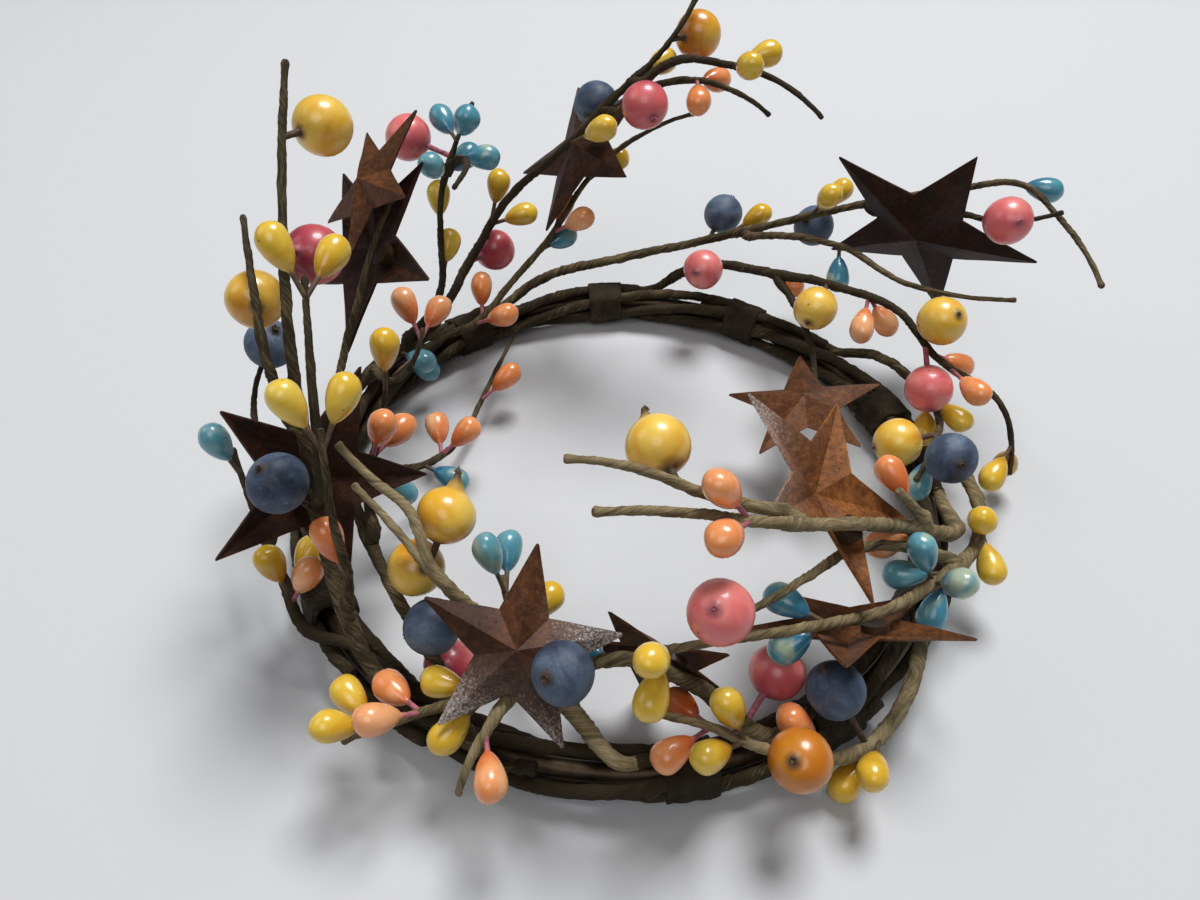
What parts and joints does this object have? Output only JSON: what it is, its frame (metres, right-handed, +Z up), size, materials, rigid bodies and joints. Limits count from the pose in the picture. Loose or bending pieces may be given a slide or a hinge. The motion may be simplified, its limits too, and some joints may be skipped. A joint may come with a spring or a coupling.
{
  "type": "candle ring",
  "caption": "Table candle ring of paper-wrapped wire stems wound round a hoop, with lacquered berries and pips and embossed rusty tin stars on hand-bent sprigs round the candle opening.",
  "frame": {"origin": "middle of the ring on the table, on the axis of the candle opening", "axes": "+Z up along the candle, the pictured front at -Y, +X to the right in the picture"},
  "size_m": [0.1489, 0.1398, 0.0796],
  "materials": {
    "bark_paper": "crinkled olive-brown crepe paper wrapped in a spiral",
    "binding_paper": "crepe paper tape",
    "hoop_steel": "bare drawn wire",
    "rusted_tin": "embossed tin sheet, rusted brown to orange with bare glints",
    "clear_glue": "clear hot-melt glue",
    "mustard_lacquer": "mustard lacquer shaded amber",
    "navy_bloom": "matte slate blue with a pale bloom",
    "rose_lacquer": "satin coral rose",
    "yellow_lacquer": "glossy yellow lacquer",
    "peach_lacquer": "glossy peach-orange lacquer",
    "teal_lacquer": "glossy light blue-green lacquer"
  },
  "bodies": {
    "ring": {"binding_tapes": "binding_paper", "front_base_blue_pips": "teal_lacquer", "front_base_glue": "clear_glue", "front_base_navy_berries": "navy_bloom", "front_base_orange_pips": "peach_lacquer", "front_base_pink_berries": "rose_lacquer", "front_base_stars": "rusted_tin", "front_base_stems": "bark_paper", "front_base_yellow_berries": "mustard_lacquer", "front_base_yellow_pips": "yellow_lacquer", "hoop_wire": "hoop_steel", "left_base_blue_pips": "teal_lacquer", "left_base_glue": "clear_glue", "left_base_navy_berries": "navy_bloom", "left_base_orange_pips": "peach_lacquer", "left_base_pink_berries": "rose_lacquer", "left_base_stars": "rusted_tin", "left_base_stems": "bark_paper", "left_base_yellow_pips": "yellow_lacquer", "right_sprig_blue_pips": "teal_lacquer", "right_sprig_glue": "clear_glue", "right_sprig_navy_berries": "navy_bloom", "right_sprig_orange_pips": "peach_lacquer", "right_sprig_pink_berries": "rose_lacquer", "right_sprig_stars": "rusted_tin", "right_sprig_stems": "bark_paper", "right_sprig_yellow_berries": "mustard_lacquer", "right_sprig_yellow_pips": "yellow_lacquer", "ring_winding": "bark_paper"},
    "left_sprig": {"left_sprig_glue": "clear_glue", "left_sprig_navy_berries": "navy_bloom", "left_sprig_orange_pips": "peach_lacquer", "left_sprig_pink_berries": "rose_lacquer", "left_sprig_stars": "rusted_tin", "left_sprig_stems": "bark_paper", "left_sprig_yellow_berries": "mustard_lacquer", "left_sprig_yellow_pips": "yellow_lacquer"},
    "rear_sprig": {"rear_sprig_blue_pips": "teal_lacquer", "rear_sprig_glue": "clear_glue", "rear_sprig_navy_berries": "navy_bloom", "rear_sprig_orange_pips": "peach_lacquer", "rear_sprig_pink_berries": "rose_lacquer", "rear_sprig_stars": "rusted_tin", "rear_sprig_stems": "bark_paper", "rear_sprig_yellow_berries": "mustard_lacquer", "rear_sprig_yellow_pips": "yellow_lacquer"},
    "star_sprig": {"star_sprig_blue_pips": "teal_lacquer", "star_sprig_glue": "clear_glue", "star_sprig_navy_berries": "navy_bloom", "star_sprig_pink_berries": "rose_lacquer", "star_sprig_stars": "rusted_tin", "star_sprig_stems": "bark_paper", "star_sprig_yellow_pips": "yellow_lacquer"},
    "front_sprig": {"front_sprig_glue": "clear_glue", "front_sprig_orange_pips": "peach_lacquer", "front_sprig_stars": "rusted_tin", "front_sprig_stems": "bark_paper", "front_sprig_yellow_berries": "mustard_lacquer"}
  },
  "joints": [
    {"name": "left_bend", "type": "hinge", "parent": "ring", "child": "left_sprig", "pos_m": [-0.03096, -0.04824, 0.0074], "axis": [0.848, -0.5299, 0], "range_deg": [0, 15]},
    {"name": "rear_bend", "type": "hinge", "parent": "ring", "child": "rear_sprig", "pos_m": [-0.05532, 0.01554, 0.00732], "axis": [-0.2588, -0.9659, 0], "range_deg": [-2, 12]},
    {"name": "star_bend", "type": "hinge", "parent": "ring", "child": "star_sprig", "pos_m": [-0.0263, 0.05093, 0.0074], "axis": [0.4695, -0.8829, 0], "range_deg": [-3, 12]},
    {"name": "front_bend", "type": "hinge", "parent": "ring", "child": "front_sprig", "pos_m": [0.05744, -0.00572, 0.00716], "axis": [-0.9962, 0.0872, 0], "range_deg": [0, 15]}
  ]
}
